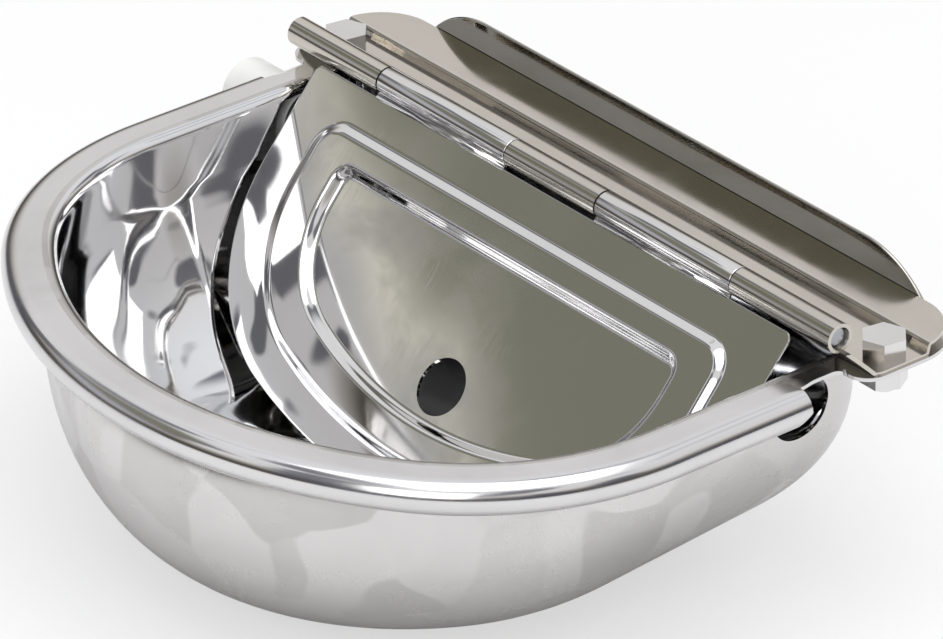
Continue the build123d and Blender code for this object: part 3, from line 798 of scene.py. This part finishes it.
finishes = (
    (bracket_steel, ("hinge_bracket",)),
    (pin_steel, ("hinge_pin", "lever_pin")),
    (fastener_steel, ("bracket_bolts", "bracket_washers", "bracket_nuts", "float_screws")),
    (moulded("valve_plastic", (0.86, 0.86, 0.83), 0.35), ("valve_body", "inlet_washer", "inlet_locknut")),
    (moulded("float_plastic", (0.84, 0.85, 0.84), 0.28), ("float_body",)),
    (moulded("lever_plastic", (0.85, 0.85, 0.82), 0.38), ("float_lever",)),
    (moulded("plunger_plastic", (0.8, 0.8, 0.78), 0.35), ("plunger",)),
    (moulded("seal_rubber", (0.03, 0.03, 0.03), 0.6), ("inlet_gasket", "plunger_seal")),
    (steel("seat_brass", (0.78, 0.6, 0.3), 0.2, 0.4, dent_depth=0.00005),
     ("valve_seat", "adjusting_screw", "adjusting_nut")),
)
print(len(finishes), "finishes for", sum(len(nodes) for _, nodes in finishes), "solids")

# %% [markdown]
# ## Dressing the pieces
# A solid that is seen as it is gets its finish directly. The bowl is one sheet with two finishes, bright
# inside and duller outside, where the darker colour of the outside is partly painted shade. A second sheet
# for the outside would need its own mesh, so here each face of the one shell picks its side by where it points.

# %% Dressing
def dress(piece, material):
    """One material over the whole piece."""
    piece.data.materials.clear()
    piece.data.materials.append(material)


def dress_sides(piece, inside, outside, middle):
    """Two finishes on one shell: a face is outside where normal . (centre - middle) is above zero."""
    mesh = piece.data
    normals, centres = np.empty(3 * len(mesh.polygons)), np.empty(3 * len(mesh.polygons))
    mesh.polygons.foreach_get("normal", normals)
    mesh.polygons.foreach_get("center", centres)
    away = (normals.reshape(-1, 3) * (centres.reshape(-1, 3) - middle)).sum(1)
    dress(piece, inside)
    mesh.materials.append(outside)
    mesh.polygons.foreach_set("material_index", (away > 0).astype(np.int32))
    print(piece.name, int((away > 0).sum()), "faces outside")


for material, nodes in finishes:
    for node in nodes:
        dress(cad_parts[node], material)
for piece, material in ((rim_skirt, rim_steel), (flange, rim_steel), (wall_lip, lip_steel)):
    dress(piece, material)
dress_sides(bowl_shell, bowl_steel, outer_steel, np.array([0, BELLY_Y, -25.0]) * MM)
for piece in [cover_plate] + cover_knuckles:
    dress(piece, cover_steel)

# %% [markdown]
# ## The floor
# A plain white plane, a few millimetres under the bowl, because the bowl hangs on a wall and doesn't stand.
# To the camera it is partly lit from itself, which brings it near white and keeps the shadow soft, while the
# steel still mirrors a plain floor.

# %% Floor
FLOOR_Z, FLOOR_HALF = -97.5, 4000.0
floor_x, floor_y = np.meshgrid([-FLOOR_HALF, FLOOR_HALF], [FLOOR_HALF, -FLOOR_HALF])
floor = grid_object("floor", np.stack([floor_x, floor_y, np.full((2, 2), FLOOR_Z)], -1))


def floor_material():
    """Pale matt floor: to the camera it is mixed with white emission, and its shadow stays, softer."""
    material, tree, shader = new_material("floor_white")
    shader["Base Color"].default_value = (0.92, 0.92, 0.92, 1)
    shader["Roughness"].default_value = 0.9
    shader["Specular IOR Level"].default_value = 0.0
    glow = add_node(tree, "ShaderNodeEmission", Color=(1, 1, 1, 1), Strength=1.0)
    seen = add_node(tree, "ShaderNodeLightPath").outputs["Is Camera Ray"]
    plain = tree.nodes["Principled BSDF"].outputs[0]
    mixed = add_node(tree, "ShaderNodeMixShader", i0=maths(tree, "MULTIPLY", seen, 0.6), i1=plain,
                     i2=glow.outputs[0])
    tree.links.new(mixed.outputs[0], tree.nodes["Material Output"].inputs["Surface"])
    return material


dress(floor, floor_material())

# %% [markdown]
# ## The room in the mirror
# Steel has no look of its own: it shows the room. So the world is a plain room written as a function of
# direction. Height picks the ramp from a dark skirting to a white ceiling, noise hangs dark panels on the
# side that the bowl mirrors, and one wall is olive with a bright straight edge. The closed cover mirrors
# that edge as a line across its plate, which is why the edge is worked out from two points of the cover.
# The room stays put when the cover or the camera moves.

# %% World
LENS = np.array((1695.412, -1423.344, 1167.854))
EDGE_START, EDGE_END, OLIVE_POINT = (-116, 6), (-5, 74), (60, 30)
PANEL_COLOUR = (0.10, 0.105, 0.13)
ROOM = [(0.0, (0.30, 0.28, 0.26)), (0.06, (0.07, 0.062, 0.05)), (0.2, (0.14, 0.125, 0.11)),
        (0.36, (0.55, 0.53, 0.50)), (0.46, (0.9, 0.89, 0.89)), (1.0, (1.0, 1.02, 1.06))]
OLIVE_WALL = [(0.0, (0.55, 0.56, 0.60)), (0.35, (0.16, 0.17, 0.22)), (0.55, (0.24, 0.25, 0.31)),
              (0.7, (0.62, 0.62, 0.63)), (0.75, (0.5, 0.5, 0.5)), (0.79, (1.0, 0.96, 0.84)),
              (0.835, (0.95, 0.91, 0.79)), (0.86, (0.3, 0.3, 0.25)), (1.0, (0.25, 0.25, 0.2))]


def colour_ramp(tree, factor, stops):
    """Ramp node from a list of (position, colour)."""
    ramp = add_node(tree, "ShaderNodeValToRGB", Fac=factor)
    elements = ramp.color_ramp.elements
    for element, (position, colour) in ((elements[0], stops[0]), (elements[1], stops[-1])):
        element.position, element.color = position, (*colour, 1)
    for position, colour in stops[1:-1]:
        elements.new(position).color = (*colour, 1)
    return ramp.outputs["Color"]


def dot(tree, place, direction):
    """Dot product of the looking direction with a fixed one."""
    node = add_node(tree, "ShaderNodeVectorMath", {"operation": "DOT_PRODUCT"}, i0=place, i1=direction)
    return node.outputs["Value"]


def cover_mirror(x, v):
    """Direction in which the cover mirrors the lens at a point: d - 2 (d . n) n."""
    sight = on_cover(np.float64(x), v, SHEET) - LENS
    sight /= np.linalg.norm(sight)
    normal = np.array((0, -sin(SLOPE), cos(SLOPE)))
    return sight - 2 * (sight @ normal) * normal


def wall_edge():
    """Normal of the plane through the eye and the edge: the cross product of two mirrored directions,
    turned towards the olive side."""
    edge = np.cross(cover_mirror(*EDGE_START), cover_mirror(*EDGE_END))
    edge /= np.linalg.norm(edge)
    return edge if edge @ cover_mirror(*OLIVE_POINT) > 0 else -edge


def room_world():
    """Room by direction: a ramp over height, dark panels, and an olive wall with one straight edge."""
    world = bpy.data.worlds.new("studio_room")
    bpy.context.scene.world = world
    world.use_nodes = True
    tree = world.node_tree
    place = add_node(tree, "ShaderNodeTexCoord").outputs["Generated"]
    axes = add_node(tree, "ShaderNodeSeparateXYZ", Vector=place)
    room = colour_ramp(tree, axes.outputs["Z"], ROOM)
    dark = remap(tree, noise(tree, place, 2.6, 1.0, Roughness=0.4), 0.50, 0.56, 0.0, 0.85)
    panel_side = remap(tree, dot(tree, place, (-0.68, 0.54, 0.49)), 0.9, 0.75, kind="SMOOTHSTEP")
    room = mix_colour(tree, maths(tree, "MULTIPLY", dark, panel_side), room, PANEL_COLOUR)
    across = dot(tree, place, tuple(wall_edge()))
    wall = colour_ramp(tree, remap(tree, across, -0.05, 0.01), OLIVE_WALL)
    olive = remap(tree, dot(tree, place, (-0.66, -0.57, 0.49)), 0.92, 0.975, kind="SMOOTHSTEP")
    room = mix_colour(tree, olive, room, wall)
    ray = add_node(tree, "ShaderNodeLightPath")
    seen = mix_colour(tree, ray.outputs["Is Camera Ray"], room, (1, 1, 1))
    tree.links.new(seen, tree.nodes["Background"].inputs["Color"])
    print("edge of the olive wall", np.round(wall_edge(), 3))


room_world()

# %% [markdown]
# ## Lamps
# The room already lights the steel from all sides. Two big soft lamps add the shadow under the bowl and a
# broad highlight on the rim: one above and a weaker one in front. Small lamps would show as hard dots in
# every dent.

# %% Lamps
LOOK_AT = Vector((0, -0.1, -0.03))


def soft_lamp(name, place, size, power):
    """Square area lamp that faces the bowl. Place and size in metres, power in watts."""
    data = bpy.data.lights.new(name, "AREA")
    data.size = size
    data.energy = power
    lamp = add_object(name, data)
    lamp.location = place
    lamp.rotation_euler = (LOOK_AT - Vector(place)).to_track_quat("-Z", "Y").to_euler()
    print(name, power, "W from", place)


soft_lamp("ceiling_lamp", (0.3, -0.2, 1.6), 1.4, 14)
soft_lamp("front_lamp", (1.0, -1.6, 0.9), 1.0, 8)

# %% [markdown]
# ## Camera
# The bowl is looked at from the front right and above, through a long lens that hardly narrows what is
# farther away. Three angles turn the camera, and its matrix is built from them directly, so that the order
# of the turns is plain to read.

# %% Camera
TURN, LIFT, ROLL = radians(51.637), radians(29.129), radians(-0.813)


def studio_camera():
    """Long lens: the matrix columns are the image's right and up and the way back to the lens."""
    data = bpy.data.cameras.new("camera")
    data.sensor_width = 36.0
    data.lens = 304.793
    data.clip_end = 50.0
    camera = add_object("camera", data)
    back = Vector((sin(TURN) * cos(LIFT), -cos(TURN) * cos(LIFT), sin(LIFT)))
    level = Vector((cos(TURN), sin(TURN), 0))
    up = back.cross(level)
    right = level * cos(ROLL) + up * sin(ROLL)
    above = -level * sin(ROLL) + up * cos(ROLL)
    placed = Matrix((right, above, back)).transposed().to_4x4()
    placed.translation = Vector(LENS * MM)
    camera.matrix_world = placed
    bpy.context.scene.camera = camera
    print("lens", round(data.lens), "mm,", round(placed.translation.length, 2), "m from the origin")


studio_camera()
bpy.context.scene.view_settings.view_transform = "Standard"
